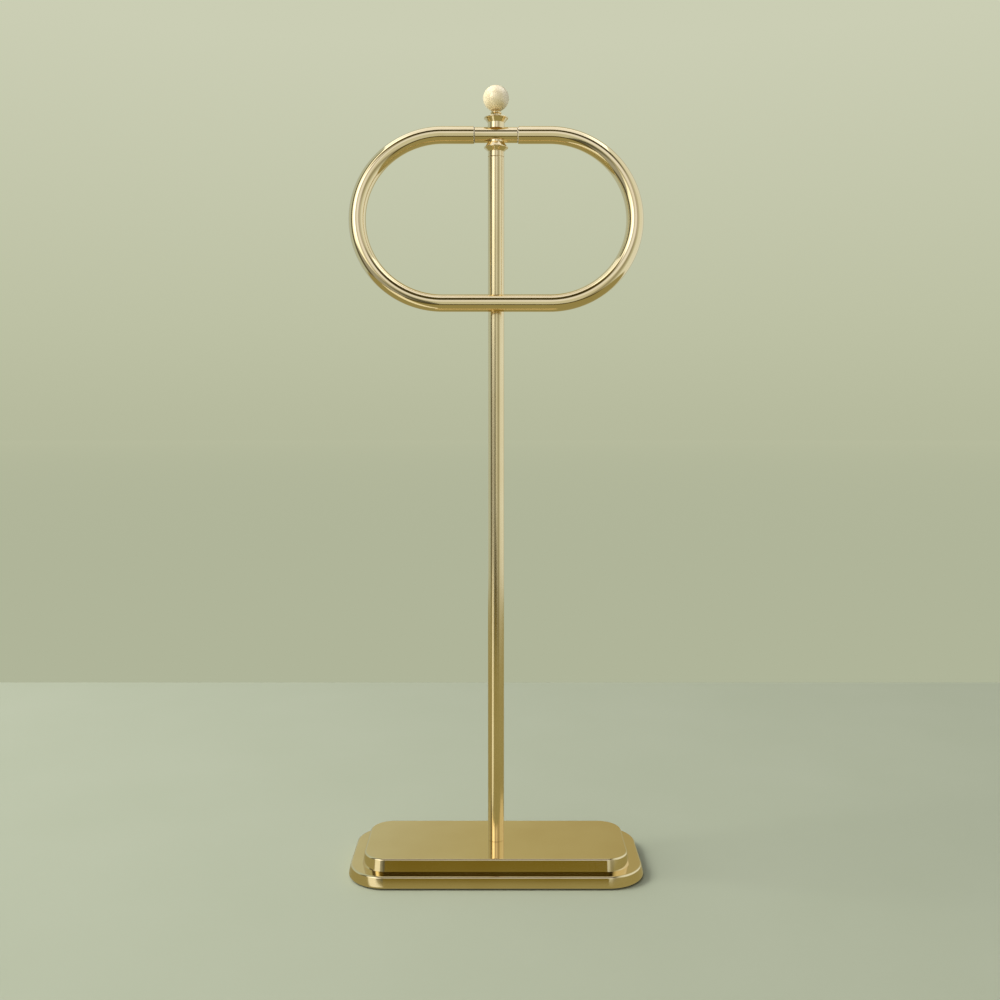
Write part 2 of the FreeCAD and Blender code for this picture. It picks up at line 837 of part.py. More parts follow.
def along_bar(label, sign, start, steps):
    """Round piece on the cross bar's axis. Each step is (length, diameter), outwards from start."""
    body = new_body(label, bar_axis)
    place = start
    for i, (length, diameter) in enumerate(steps):
        offset = place if sign > 0 else (place + length) * -1
        step = new_sketch(body, f"step_{i}", "YZ_Plane", offset)
        add_circle(step, diameter)
        pad(body, step, length)
        place = place + length
    return body


def pivot_pin(side, sign):
    """Shouldered steel pin screwed into the end of the cross bar."""
    return along_bar(
        f"{side}_pivot_pin",
        sign,
        size.bar_length / 2 - size.pivot_thread_length,
        [
            (size.pivot_thread_length, size.pivot_thread_diameter),
            (size.pivot_length, size.pivot_diameter),
        ],
    )


def ring_bush(side, sign):
    """Flanged nylon bush pushed into the end of the ring's tube, running on the pivot pin."""
    body = along_bar(
        f"{side}_ring_bush",
        sign,
        tube_end - size.bush_flange_thickness,
        [
            (size.bush_flange_thickness, size.bush_flange_diameter),
            (size.bush_length, ring_bore - size.push_fit * 2),
        ],
    )
    bore = new_sketch(body, "bore", "YZ_Plane")
    add_circle(bore, size.pivot_diameter + size.running_fit * 2)
    pocket(body, bore, both_ways=True)
    return body


def towel_ring():
    """Tube bent into a long oval, open at the top where its two ends run on the pivot pins."""
    body = new_body("towel_ring", bar_axis)
    radius = size.ring_bend_radius
    path = new_sketch(body, "path", "XZ_Plane")
    right, left = size.ring_straight, size.ring_straight * -1
    drop = radius * -2
    add_route(path, tube_end, right, left, radius, drop)
    section = new_sketch(body, "section", "YZ_Plane", tube_end)
    add_circle(section, size.ring_tube_diameter)
    add_circle(section, ring_bore)
    tube = body.newObject("PartDesign::AdditivePipe", "towel_ring_tube")
    tube.Profile = section
    tube.Spine = path
    tube.Mode = "Frenet"
    doc.recompute()
    reach = size.pole_diameter / 2 + size.ring_tube_diameter / 2 + size.ring_rest_gap
    body.Placement.Rotation = FreeCAD.Rotation(FreeCAD.Vector(1, 0, 0), 1)
    bind(body, "Placement.Rotation.Angle", Length(0, f"-asin({reach.text} / (2 * {radius.text}))"))
    bind(body, "Placement.Base.z", bar_axis)
    return body


def add_route(sketch, start, right, left, radius, drop):
    """The ring's centre line, from its right end down round to its left end."""
    centre_z = radius * -1
    up = FreeCAD.Vector(0, 0, 1)
    corners = [(start, None), (right, None), (right, drop), (left, drop), (left, None)]
    last = (start * -1, None)
    points = [point(*corner) for corner in corners] + [point(*last)]
    top_right = sketch.addGeometry(Part.LineSegment(points[0], points[1]))
    circle = Part.Circle(point(right, centre_z), up, radius.value)
    right_bend = sketch.addGeometry(Part.ArcOfCircle(circle, -math.pi / 2, math.pi / 2))
    bottom = sketch.addGeometry(Part.LineSegment(points[2], points[3]))
    circle = Part.Circle(point(left, centre_z), up, radius.value)
    left_bend = sketch.addGeometry(Part.ArcOfCircle(circle, math.pi / 2, 3 * math.pi / 2))
    top_left = sketch.addGeometry(Part.LineSegment(points[4], points[5]))
    place_point(sketch, top_right, START, start, None)
    place_point(sketch, top_right, END, right, None)
    place_point(sketch, bottom, START, right, drop)
    place_point(sketch, bottom, END, left, drop)
    place_point(sketch, top_left, START, left, None)
    place_point(sketch, top_left, END, start * -1, None)
    constrain(sketch, "Coincident", top_right, END, right_bend, END)
    constrain(sketch, "Coincident", right_bend, START, bottom, START)
    constrain(sketch, "Coincident", bottom, END, left_bend, END)
    constrain(sketch, "Coincident", left_bend, START, top_left, START)
    constrain(sketch, "DistanceX", *ORIGIN, right_bend, CENTRE, length=right)
    constrain(sketch, "DistanceX", *ORIGIN, left_bend, CENTRE, length=left)


# Seats of the screws in the base
tier_screw_seat = cover_top + size.tier_screw_recess + size.tier_screw_head_height
tier_screw_tip = tier_screw_seat + size.tier_screw_length
pole_bolt_seat = ballast_top - size.flat_washer_thickness - size.spring_washer_thickness

pieces = [
    lower_tier(),
    upper_tier(),
    spacer(),
    tier_bosses(),
    tier_screws(),
    ballast(),
    cover(),
    cover_screws(),
    foot_pads(),
    washer(
        "pole_bolt_washer",
        ballast_top - size.flat_washer_thickness,
        size.flat_washer_diameter,
        size.flat_washer_thickness,
    ),
    spring_washer(),
    pole_bolt(),
    pole(),
    foot_plug(),
    pole_cap(),
    lower_bead(),
    cross_bar(),
    upper_collar(),
    finial_neck(),
    finial_ball(),
    finial_stud(),
    pivot_pin("right", 1),
    pivot_pin("left", -1),
    ring_bush("right", 1),
    ring_bush("left", -1),
    towel_ring(),
]

doc.recompute()
for thing in doc.Objects:
    if "Invalid" in thing.State or "Error" in thing.State:
        raise RuntimeError(f"{thing.Label} failed: {thing.State}")
for piece in pieces:
    if piece.Shape.isNull() or not piece.Shape.isValid():
        raise RuntimeError(f"{piece.Label} has no sound shape")

os.makedirs("parts", exist_ok=True)
for piece in pieces:
    piece.Shape.exportStep(f"parts/{piece.Label}.step")
    box = piece.Shape.BoundBox
    print(
        f"{piece.Label}: {len(piece.Shape.Solids)} solid, {piece.Shape.Volume:.0f} mm3, "
        f"x {box.XMin:.1f}..{box.XMax:.1f}, y {box.YMin:.1f}..{box.YMax:.1f}, "
        f"z {box.ZMin:.1f}..{box.ZMax:.1f}"
    )
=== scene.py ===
import math

import bmesh
import bpy
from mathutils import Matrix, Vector


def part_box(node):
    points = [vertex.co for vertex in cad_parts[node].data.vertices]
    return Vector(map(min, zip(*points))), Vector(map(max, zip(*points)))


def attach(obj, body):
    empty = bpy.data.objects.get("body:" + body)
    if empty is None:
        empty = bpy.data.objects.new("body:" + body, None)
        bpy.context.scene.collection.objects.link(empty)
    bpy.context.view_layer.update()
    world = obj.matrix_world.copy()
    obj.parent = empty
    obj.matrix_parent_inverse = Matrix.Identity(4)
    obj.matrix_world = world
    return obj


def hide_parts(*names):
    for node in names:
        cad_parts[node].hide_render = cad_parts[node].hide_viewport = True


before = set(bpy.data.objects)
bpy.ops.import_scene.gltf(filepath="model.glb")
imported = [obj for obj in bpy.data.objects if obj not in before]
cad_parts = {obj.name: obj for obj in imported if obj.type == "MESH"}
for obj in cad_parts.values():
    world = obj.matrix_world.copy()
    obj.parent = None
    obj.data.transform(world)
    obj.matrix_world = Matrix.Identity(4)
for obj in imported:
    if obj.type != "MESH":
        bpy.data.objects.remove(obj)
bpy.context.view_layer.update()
bpy.ops.object.select_all(action="DESELECT")
scene = bpy.context.scene
MM = 0.001

# ---- Camera ------------------------------------------------------------------------------------
# In front of the stand, a little above its middle, looking down by two degrees. Height, distance
# and lens give the base, pole and ring their places in the photograph with only a small shift.
PHOTO_WIDTH_PX = 1000
FOCAL_LENGTH_PX = 1050.0
CAMERA_HEIGHT = 0.534
CAMERA_DISTANCE = 1.235
CAMERA_PITCH = math.radians(1.96)
CAMERA_SHIFT = (0.004, -0.05)

camera_data = bpy.data.cameras.new("camera")
camera_data.lens = camera_data.sensor_width * FOCAL_LENGTH_PX / PHOTO_WIDTH_PX
camera_data.shift_x, camera_data.shift_y = CAMERA_SHIFT
camera = bpy.data.objects.new("camera", camera_data)
camera.location = (0, -CAMERA_DISTANCE, CAMERA_HEIGHT)
camera.rotation_euler = (math.pi / 2 - CAMERA_PITCH, 0, 0)
scene.collection.objects.link(camera)
scene.camera = camera
scene.view_settings.view_transform = "Standard"

# ---- Studio surroundings -----------------------------------------------------------------------
# A pale green painted room. What is matt gets soft light from the left, and the polished brass
# sees walls, windows and dark flags at their places round the stand.
WALL_TONES = (
    # height of the line of sight, and the painted wall's tone there
    (-0.12, (0.434, 0.462, 0.319)),
    (0.0, (0.474, 0.497, 0.342)),
    (0.08, (0.509, 0.533, 0.371)),
    (0.33, (0.597, 0.617, 0.456)),
)
ROOM_ROUND = (
    # degrees round the stand, from the camera side to the right, and what stands there
    (-180, (0.51, 0.50, 0.32)),
    (-171, (0.56, 0.60, 0.50)),
    (-150, (0.52, 0.62, 0.66)),
    (-98, (0.54, 0.68, 0.78)),
    (-85, (0.54, 0.68, 0.78)),
    (-80, (0.13, 0.13, 0.10)),
    (-64, (0.13, 0.13, 0.10)),
    (-57, (1.50, 1.66, 1.90)),
    (-28, (1.50, 1.66, 1.90)),
    (-18, (0.72, 0.78, 0.76)),
    (-11, (0.34, 0.36, 0.31)),
    (-4, (0.66, 0.74, 0.78)),
    (17, (0.72, 0.80, 0.88)),
    (25, (0.38, 0.40, 0.38)),
    (34, (0.38, 0.40, 0.38)),
    (50, (0.62, 0.70, 0.72)),
    (64, (0.86, 0.98, 1.20)),
    (130, (0.86, 0.98, 1.20)),
    (145, (0.56, 0.60, 0.52)),
    (158, (0.48, 0.49, 0.36)),
    (171, (0.44, 0.41, 0.24)),
    (180, (0.51, 0.50, 0.32)),
)
FRONT_UP = (
    # degrees up, and how much of the room's light shows at that height on the camera side
    (-90, (1.0, 1.0, 1.0)),
    (10, (1.0, 1.0, 1.0)),
    (17, (1.40, 1.40, 1.75)),
    (33, (1.40, 1.40, 1.75)),
    (40, (0.10, 0.08, 0.02)),
    (90, (0.10, 0.08, 0.02)),
)
# in degrees: where the camera side ends, where the left softbox stands and how high its foot is,
# and where the ceiling starts
CAMERA_SIDE_END = (36, 48)
SOFTBOX_SIDE = (-64, -6)
SOFTBOX_FOOT = (3, 7)
CEILING_START = (62, 70)
# how much of the room shows under the left softbox, and the ceiling's tone
UNDER_SOFTBOX = (0.27, 0.27, 0.27, 1)
CEILING = (0.13, 0.12, 0.07, 1)
# the soft light's tones at the left and right, and how far off the middle each is reached
SOFT_LEFT = (1.15, 1.15, 1.12, 1)
SOFT_RIGHT = (0.05, 0.05, 0.05, 1)
SOFT_TURN = 0.3
SOFT_STRENGTH = 0.88


def add_node(tree, kind, inputs=None, **settings):
    """A shader node, with its settings and with its sockets set or linked."""
    node = tree.nodes.new(kind)
    for name, value in settings.items():
        setattr(node, name, value)
    for name, value in (inputs or {}).items():
        if isinstance(value, bpy.types.NodeSocket):
            tree.links.new(value, node.inputs[name])
        else:
            node.inputs[name].default_value = value
    return node


def add_math(tree, operation, first, second=0.0):
    node = add_node(tree, "ShaderNodeMath", operation=operation)
    for socket, value in zip(node.inputs, (first, second)):
        if isinstance(value, bpy.types.NodeSocket):
            tree.links.new(value, socket)
        else:
            socket.default_value = value
    return node.outputs[0]


def add_range(tree, value, low, high, to_low=0.0, to_high=1.0):
    inputs = {
        "Value": value, "From Min": low, "From Max": high, "To Min": to_low, "To Max": to_high
    }
    return add_node(tree, "ShaderNodeMapRange", inputs).outputs[0]


def add_ramp(tree, value, stops):
    """A colour ramp; each stop is (place, colour)."""
    node = add_node(tree, "ShaderNodeValToRGB", {"Fac": value})
    points = node.color_ramp.elements
    while len(points) < len(stops):
        points.new(0.5)
    for point, (place, colour) in zip(points, stops):
        point.position = place
        point.color = colour if len(colour) == 4 else (*colour, 1)
    return node.outputs[0]


def add_mix(tree, fac, first, second, blend_type="MIX"):
    node = add_node(tree, "ShaderNodeMix", data_type="RGBA", blend_type=blend_type)
    sockets = (node.inputs[0], node.inputs[6], node.inputs[7])
    for socket, value in zip(sockets, (fac, first, second)):
        if isinstance(value, bpy.types.NodeSocket):
            tree.links.new(value, socket)
        else:
            socket.default_value = value
    return node.outputs[2]


def add_azimuth(tree, across, along):
    """The angle of a direction seen from above, from the camera side to the right."""
    return add_math(tree, "ARCTAN2", across, add_math(tree, "MULTIPLY", along, -1.0))


def add_room(tree, across, along):
    """The room's colour in a direction seen from above, and 1 where that is the camera side."""
    azimuth = add_azimuth(tree, across, along)
    place = add_range(tree, azimuth, -math.pi, math.pi)
    room = add_ramp(tree, place, [((a + 180) / 360, colour) for a, colour in ROOM_ROUND])
    aside = add_math(tree, "ABSOLUTE", azimuth)
    start, end = (math.radians(angle) for angle in CAMERA_SIDE_END)
    return room, add_range(tree, aside, start, end, 1.0, 0.0)


def on_softbox_side(tree, across, along):
    """1 where a direction seen from above is the left softbox's."""
    azimuth = add_azimuth(tree, across, along)
    start, end = (math.radians(angle) for angle in SOFTBOX_SIDE)
    return add_math(
        tree, "MULTIPLY",
        add_math(tree, "GREATER_THAN", azimuth, start), add_math(tree, "LESS_THAN", azimuth, end),
    )


world = bpy.data.worlds.new("studio")
scene.world = world
world.use_nodes = True
tree = world.node_tree
tree.nodes.clear()
direction = add_node(tree, "ShaderNodeTexCoord").outputs["Generated"]
across, along, upward = add_node(tree, "ShaderNodeSeparateXYZ", {"Vector": direction}).outputs
room, front = add_room(tree, across, along)
elevation = add_math(tree, "ARCSINE", upward)
up_place = add_range(tree, elevation, -math.pi / 2, math.pi / 2)
height_light = add_ramp(tree, up_place, [((e + 90) / 180, light) for e, light in FRONT_UP])
front_room = add_mix(tree, 1.0, room, height_light, "MULTIPLY")
walls = add_mix(tree, front, room, front_room)
# the softbox at the left ends above the horizon, and the ceiling is dark
under_softbox = add_mix(tree, 1.0, walls, UNDER_SOFTBOX, "MULTIPLY")
low = add_range(tree, elevation, *(math.radians(angle) for angle in SOFTBOX_FOOT), 1.0, 0.0)
low = add_math(tree, "MULTIPLY", low, on_softbox_side(tree, across, along))
walls = add_mix(tree, low, walls, under_softbox)
overhead = add_range(tree, elevation, *(math.radians(angle) for angle in CEILING_START))
surroundings = add_mix(tree, overhead, walls, CEILING)
wall_place = add_range(tree, upward, -1, 1)
back_wall = add_ramp(tree, wall_place, [((k + 1) / 2, tone) for k, tone in WALL_TONES])
seen_by = add_node(tree, "ShaderNodeLightPath").outputs
seen = add_math(tree, "ADD", seen_by["Is Camera Ray"], seen_by["Is Glossy Ray"])
seen = add_math(tree, "MINIMUM", add_math(tree, "ADD", seen, seen_by["Is Transmission Ray"]), 1.0)
# a reflection that lights something matt carries the soft light instead
direct = add_math(tree, "LESS_THAN", seen_by["Diffuse Depth"], 0.5)
seen = add_math(tree, "MULTIPLY", seen, direct)
# what the camera itself sees is the painted wall all round
plain = add_mix(tree, seen_by["Is Camera Ray"], surroundings, back_wall)
soft = add_mix(tree, add_range(tree, across, -SOFT_TURN, SOFT_TURN), SOFT_LEFT, SOFT_RIGHT)
light = add_node(tree, "ShaderNodeBackground", {"Color": soft, "Strength": SOFT_STRENGTH})
sight = add_node(tree, "ShaderNodeBackground", {"Color": plain, "Strength": 1.0})
choice = add_node(tree, "ShaderNodeMixShader", {"Fac": seen})
tree.links.new(light.outputs[0], choice.inputs[1])
tree.links.new(sight.outputs[0], choice.inputs[2])
add_node(tree, "ShaderNodeOutputWorld", {"Surface": choice.outputs[0]})


# ---- Lamps -------------------------------------------------------------------------------------
# A softbox high at the left lights the floor and throws the shadow to the right, and a weak one
# hangs overhead. A small gridded one lights the satin ball. The last, close above the stand, shows
# only in what is polished.
LAMPS = {
    # name: (place, what it faces, width, height, radiance, spread in degrees, rays that see it)
    "key_softbox": ((-3.10, -0.15, 3.20), (0, 0, 0.1), 1.70, 1.70, 12.2, 180, "diffuse"),
    "overhead_softbox": ((0.10, -0.10, 2.40), (0.10, -0.10, 0.0), 1.20, 1.00, 0.5, 180, "diffuse"),
    "finial_softbox": ((-0.62, -0.75, 1.02), (0, 0, 0.905), 0.30, 0.30, 1.75, 60, "diffuse"),
    "top_softbox": ((0.0, 0.0, 1.36), (0.0, 0.0, 0.0), 0.90, 0.56, 1.10, 180, "glossy"),
}
TOP_SOFTBOX_COLOUR = (0.85, 0.96, 1.35)
for name, (place, target, width, height, radiance, spread, seen_in) in LAMPS.items():
    lamp_data = bpy.data.lights.new(name, "AREA")
    lamp_data.shape = "RECTANGLE"
    lamp_data.size = width
    lamp_data.size_y = height
    lamp_data.energy = radiance * math.pi * width * height
    lamp_data.spread = math.radians(spread)
    if seen_in == "glossy":
        lamp_data.color = TOP_SOFTBOX_COLOUR
    lamp = bpy.data.objects.new(name, lamp_data)
    lamp.location = place
    lamp.rotation_euler = (Vector(target) - Vector(place)).to_track_quat("-Z", "Y").to_euler()
    lamp.visible_camera = False
    lamp.visible_diffuse = seen_in == "diffuse"
    lamp.visible_glossy = seen_in == "glossy"
    scene.collection.objects.link(lamp)

# ---- Floor -------------------------------------------------------------------------------------
# One pale green painted sheet. Beyond its far edge, and far off to the sides, it shows the wall's
# deeper tone. Polished pieces see a painted reflection on it instead, which glows: the sheet
# darker and warmer than its paint, a dark strip in front, the room's foot round it, a painted
# white card.
FLOOR_SIZE = 40.0
FLOOR_END = 0.838
FLOOR_END_BLUR = 0.004
FLOOR_PAINT = (0.485, 0.521, 0.381)
FLOOR_MOTTLE = (0.470, 0.508, 0.366)
# how far from the stand the paint passes into the wall's tone, and that into a lighter one
PAINT_END = (1.6, 7.0)
WALL_RISE = (3.0, 20.0)
# and, in the brass's painted reflection, how far off a dark strip starts and then the room's foot
STRIP_START = (1.05, 1.25)
ROOM_FOOT = (1.7, 1.95)
# painted reflection tones for polished pieces: the sheet darker and warmer, and a dark strip
PAINTED_FLOOR_REFLECTION = (0.36, 0.35, 0.20, 1)
PAINTED_DARK_STRIP = (0.09, 0.08, 0.03, 1)
# a painted white card that glows for polished pieces, and the white board's glow
WHITE_CARD_GLOW = (1.02, 1.08, 1.12, 1)
GLOW_BOARD_DISTANCE = 1.2
CARD_START = 0.14
# the painted card's two sides, each as a soft range of steps to the left per step to the front
CARD_INNER_SIDE = (0.66, 0.72)
CARD_OUTER_SIDE = (1.5, 1.7)

bpy.ops.mesh.primitive_plane_add(size=FLOOR_SIZE, location=(0, 0, 0))
floor = bpy.context.object
floor.name = "studio_floor"


def new_material(name):
    """A material with one principled shader, and its tree and object coordinates."""
    material = bpy.data.materials.new(name)
    material.use_nodes = True
    tree = material.node_tree
    tree.nodes.clear()
    shader = add_node(tree, "ShaderNodeBsdfPrincipled")
    add_node(tree, "ShaderNodeOutputMaterial", {"Surface": shader.outputs[0]})
    place = add_node(tree, "ShaderNodeTexCoord").outputs["Object"]
    return material, tree, shader.inputs, place


def add_noise(tree, place, scale, detail=2.0, stretch=(1, 1, 1)):
    """Cloudy noise; scale is in blobs per metre, and stretch multiplies it along each axis."""
    mapping = add_node(tree, "ShaderNodeMapping", {"Vector": place, "Scale": stretch})
    inputs = {"Vector": mapping.outputs[0], "Scale": scale, "Detail": detail}
    return add_node(tree, "ShaderNodeTexNoise", inputs).outputs["Fac"]


def add_bump(tree, height, strength, distance):
    inputs = {"Height": height, "Strength": strength, "Distance": distance}
    return add_node(tree, "ShaderNodeBump", inputs).outputs[0]


def floor_in_brass(tree, place, away):
    """The painted reflection that the polished pieces see of the floor, in place of its lit paint.
    """
    across, along, _ = add_node(tree, "ShaderNodeSeparateXYZ", {"Vector": place}).outputs
    room, front = add_room(tree, across, along)
    # the sheet's painted reflection, with a painted dark strip on the camera side further off
    strip = add_math(tree, "MULTIPLY", front, add_range(tree, away, *STRIP_START))
    boards = add_mix(tree, strip, PAINTED_FLOOR_REFLECTION, PAINTED_DARK_STRIP)
    under_softbox = add_mix(tree, 1.0, room, UNDER_SOFTBOX, "MULTIPLY")
    room = add_mix(tree, on_softbox_side(tree, across, along), room, under_softbox)
    mirrored = add_mix(tree, add_range(tree, away, *ROOM_FOOT), boards, room)
    # a painted white card, glowing for polished pieces, at the front left from the base to the
    # white board
    leftward = add_math(tree, "MULTIPLY", across, -1.0)
    slope = add_math(tree, "DIVIDE", leftward, add_math(tree, "MULTIPLY", along, -1.0))
    left_part = add_math(tree, "GREATER_THAN", leftward, CARD_START)
    on_card = add_math(tree, "MULTIPLY", left_part, add_range(tree, slope, *CARD_INNER_SIDE))
    outer_side = add_range(tree, slope, *CARD_OUTER_SIDE, 1.0, 0.0)
    on_card = add_math(tree, "MULTIPLY", on_card, outer_side)
    near_card = add_math(tree, "LESS_THAN", away, GLOW_BOARD_DISTANCE)
    on_card = add_math(tree, "MULTIPLY", on_card, near_card)
    return add_mix(tree, on_card, mirrored, WHITE_CARD_GLOW)


def paint_floor():
    """Matt paint near the stand, the lit wall's even tone beyond, and the brass's painted
    reflection.
    """
    material, tree, shader, place = new_material("pale_green_paint")
    cloud = add_noise(tree, place, 5, 4)
    mottle = add_ramp(tree, cloud, [(0.3, FLOOR_MOTTLE), (0.7, FLOOR_PAINT)])
    tree.links.new(mottle, shader["Base Color"])
    _, depth, _ = add_node(tree, "ShaderNodeSeparateXYZ", {"Vector": place}).outputs
    away = add_node(tree, "ShaderNodeVectorMath", {0: place}, operation="LENGTH").outputs["Value"]
    beyond = add_range(tree, depth, FLOOR_END - FLOOR_END_BLUR, FLOOR_END + FLOOR_END_BLUR)
    beyond = add_math(tree, "MAXIMUM", beyond, add_range(tree, away, *PAINT_END))
    rise = add_range(tree, away, *WALL_RISE)
    wall_tone = add_ramp(tree, rise, [(0.0, WALL_TONES[0][1]), (1.0, WALL_TONES[1][1])])
    wall = add_node(tree, "ShaderNodeEmission", {"Color": wall_tone})
    # polished pieces see the painted reflection, which glows, in place of the lit paint
    mirrored = floor_in_brass(tree, place, away)
    mirror_view = add_node(tree, "ShaderNodeEmission", {"Color": mirrored})
    mirror_ray = add_node(tree, "ShaderNodeLightPath").outputs["Is Glossy Ray"]
    output = next(node for node in tree.nodes if node.type == "OUTPUT_MATERIAL")
    surface = output.inputs["Surface"].links[0].from_socket
    for share, shown in ((beyond, wall), (mirror_ray, mirror_view)):
        join = add_node(tree, "ShaderNodeMixShader", {"Fac": share})
        tree.links.new(surface, join.inputs[1])
        tree.links.new(shown.outputs[0], join.inputs[2])
        surface = join.outputs[0]
    tree.links.new(surface, output.inputs["Surface"])
    shader["Roughness"].default_value = 0.8
    grain = add_noise(tree, place, 260, 3)
    tree.links.new(add_bump(tree, grain, 0.12, 0.0006), shader["Normal"])
    return material


floor.data.materials.append(paint_floor())

# ---- Painted reflections: glowing flag and white board -----------------------------------------
# Two low boards out of the picture, which glow with painted tones and show only in polished
# pieces:
# dark cloth across the front, for the base's painted dark fronts and the line along the ring, and
# white card at the front left, for the base's painted bright corner.
BOARDS = {
    # name: (degrees to the right, distance, width, height, glowing tones from the floor up)
    "dark_flag": (
        0, 1.15, 0.56, 0.25, ((0.30, (0.20, 0.165, 0.035)), (0.46, (0.045, 0.036, 0.010)))
    ),
    "white_glow_board": (
        -45, GLOW_BOARD_DISTANCE, 0.50, 0.16, ((0.0, WHITE_CARD_GLOW), (1.0, WHITE_CARD_GLOW))
    ),
}


def board_face(name, height, tones):
    material, tree, _, place = new_material(name + "_face")
    _, _, upward = add_node(tree, "ShaderNodeSeparateXYZ", {"Vector": place}).outputs
    tone = add_ramp(tree, add_range(tree, upward, 0, height), tones)
    # the face glows with its painted tones: a painted reflection for polished pieces only
    glow = add_node(tree, "ShaderNodeEmission", {"Color": tone})
    output = next(node for node in tree.nodes if node.type == "OUTPUT_MATERIAL")
    tree.links.new(glow.outputs[0], output.inputs["Surface"])
    return material


for name, (azimuth, distance, width, height, tones) in BOARDS.items():
    turn_to = math.radians(azimuth)
    bpy.ops.mesh.primitive_plane_add(size=1, rotation=(math.pi / 2, 0, turn_to))
    board = bpy.context.object
    board.name = name
    board.scale = (width, height, 1)
    across, along = math.sin(turn_to) * distance, -math.cos(turn_to) * distance
    board.location = (across, along, height / 2)
    bpy.ops.object.transform_apply(location=True, rotation=True, scale=True)
    board.data.materials.append(board_face(name, height, tones))
    board.visible_camera = False
    board.visible_diffuse = False
    board.visible_shadow = False

# ---- Base tiers --------------------------------------------------------------------------------
# Two shells pressed from brass sheet, one on the other. Their walls lean in, and the edge round
# each top is rolled over a small radius. Both are buffed to a mirror and lacquered.
LOWER_TIER_SIZE = (342 * MM, 152 * MM)
TIER_STEP = 16 * MM
LOWER_CORNER_RADIUS = 45 * MM
TIER_DRAFT = math.radians(12)
TIER_EDGE_RADIUS = 2.2 * MM
TIER_RIM_RADIUS = 1.5 * MM
SHELL_WALL = 2 * MM
CORNER_STEPS = 28
EDGE_STEPS = 7
RIM_STEPS = 5
SMOOTH_ANGLE = math.radians(32)
BRASS_LIGHT = (0.82, 0.64, 0.325)
BRASS_DEEP = (0.78, 0.595, 0.285)


def polished_brass(name, roughness, lines=(1, 1, 1), anisotropy=0.0, axis=None):
    """Buffed and lacquered brass; its polishing marks run along the axes under 1 in lines."""
    material, tree, shader, place = new_material(name)
    cloud = add_noise(tree, place, 14, 3)
    tone = add_ramp(tree, cloud, [(0.35, BRASS_DEEP), (0.68, BRASS_LIGHT)])
    tree.links.new(tone, shader["Base Color"])
    shader["Metallic"].default_value = 1.0
    hairlines = add_noise(tree, place, 900, 3, lines)
    haze = add_math(tree, "MULTIPLY", hairlines, cloud)
    rough = add_range(tree, haze, 0.1, 0.45, roughness * 0.94, roughness * 1.08)
    tree.links.new(rough, shader["Roughness"])
    waves = add_noise(tree, place, 22, 1)
    relief = add_math(tree, "ADD", add_math(tree, "MULTIPLY", hairlines, 0.02), waves)
    tree.links.new(add_bump(tree, relief, 0.06, 0.0003), shader["Normal"])
    if axis:
        shader["Anisotropic"].default_value = anisotropy
        shader["Anisotropic Rotation"].default_value = 0.25
        tangent = add_node(tree, "ShaderNodeTangent", direction_type="RADIAL", axis=axis)
        tree.links.new(tangent.outputs[0], shader["Tangent"])
    return material


def select_where(piece, kind, test):
    """In edit mode, selects only the piece's edges or faces that pass the test."""
    bpy.ops.mesh.select_mode(type=kind)
    bpy.ops.mesh.select_all(action="DESELECT")
    mesh = bmesh.from_edit_mesh(piece.data)
    for part in mesh.edges if kind == "EDGE" else mesh.faces:
        part.select_set(test(part))
    bmesh.update_edit_mesh(piece.data)


def apply_modifier(piece, kind, **settings):
    bpy.context.view_layer.objects.active = piece
    modifier = piece.modifiers.new(kind.lower(), kind)
    for name, value in settings.items():
        setattr(modifier, name, value)
    bpy.ops.object.modifier_apply(modifier=modifier.name)


def only(piece):
    """Makes the piece the one that operators act on."""
    bpy.ops.object.select_all(action="DESELECT")
    piece.select_set(True)
    bpy.context.view_layer.objects.active = piece


def finish_piece(piece, name, body, material, node, edge=0.0):
    """Softens a piece's edges, shades it, and puts it in the place of its CAD node."""
    only(piece)
    piece.name = piece.data.name = name
    bpy.ops.object.transform_apply(location=True, rotation=True, scale=True)
    if edge:
        apply_modifier(piece, "BEVEL", width=edge, segments=2, angle_limit=SMOOTH_ANGLE)
    bpy.ops.object.shade_smooth_by_angle(angle=SMOOTH_ANGLE)
    apply_modifier(piece, "WEIGHTED_NORMAL", keep_sharp=True)
    piece.data.materials.clear()
    piece.data.materials.append(material)
    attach(piece, body)
    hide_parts(node)
    piece.select_set(False)


def press_tier(name, node, inset):
    """A tier: a rounded plate, its middle raised so that the walls lean in, then given a wall."""
    low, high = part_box(node)
    rise = high.z - low.z
    width, depth = (side - inset * 2 for side in LOWER_TIER_SIZE)
    lean = rise * math.tan(TIER_DRAFT)
    bpy.ops.mesh.primitive_plane_add(size=1, location=(0, 0, low.z))
    piece = bpy.context.object
    piece.scale = (width, depth, 1)
    bpy.ops.object.transform_apply(location=True, rotation=True, scale=True)
    bpy.ops.object.mode_set(mode="EDIT")
    bpy.ops.mesh.select_all(action="SELECT")
    corner = LOWER_CORNER_RADIUS - inset
    bpy.ops.mesh.bevel(offset=corner, segments=CORNER_STEPS, affect="VERTICES", profile=0.5)
    bpy.ops.mesh.select_mode(type="FACE")
    bpy.ops.mesh.select_all(action="SELECT")
    bpy.ops.mesh.inset(thickness=lean)
    bpy.ops.transform.translate(value=(0, 0, rise))
    roll = TIER_EDGE_RADIUS * math.tan((math.pi / 2 - TIER_DRAFT) / 2)
    select_where(piece, "EDGE", lambda e: all(v.co.z > high.z - SHELL_WALL / 2 for v in e.verts))
    bpy.ops.mesh.bevel(offset=roll, segments=EDGE_STEPS, affect="EDGES", profile=0.5)
    bpy.ops.mesh.select_all(action="SELECT")
    bpy.ops.mesh.normals_make_consistent(inside=False)
    bpy.ops.object.mode_set(mode="OBJECT")
    apply_modifier(piece, "SOLIDIFY", thickness=SHELL_WALL, offset=-1, use_even_offset=True)
    return piece


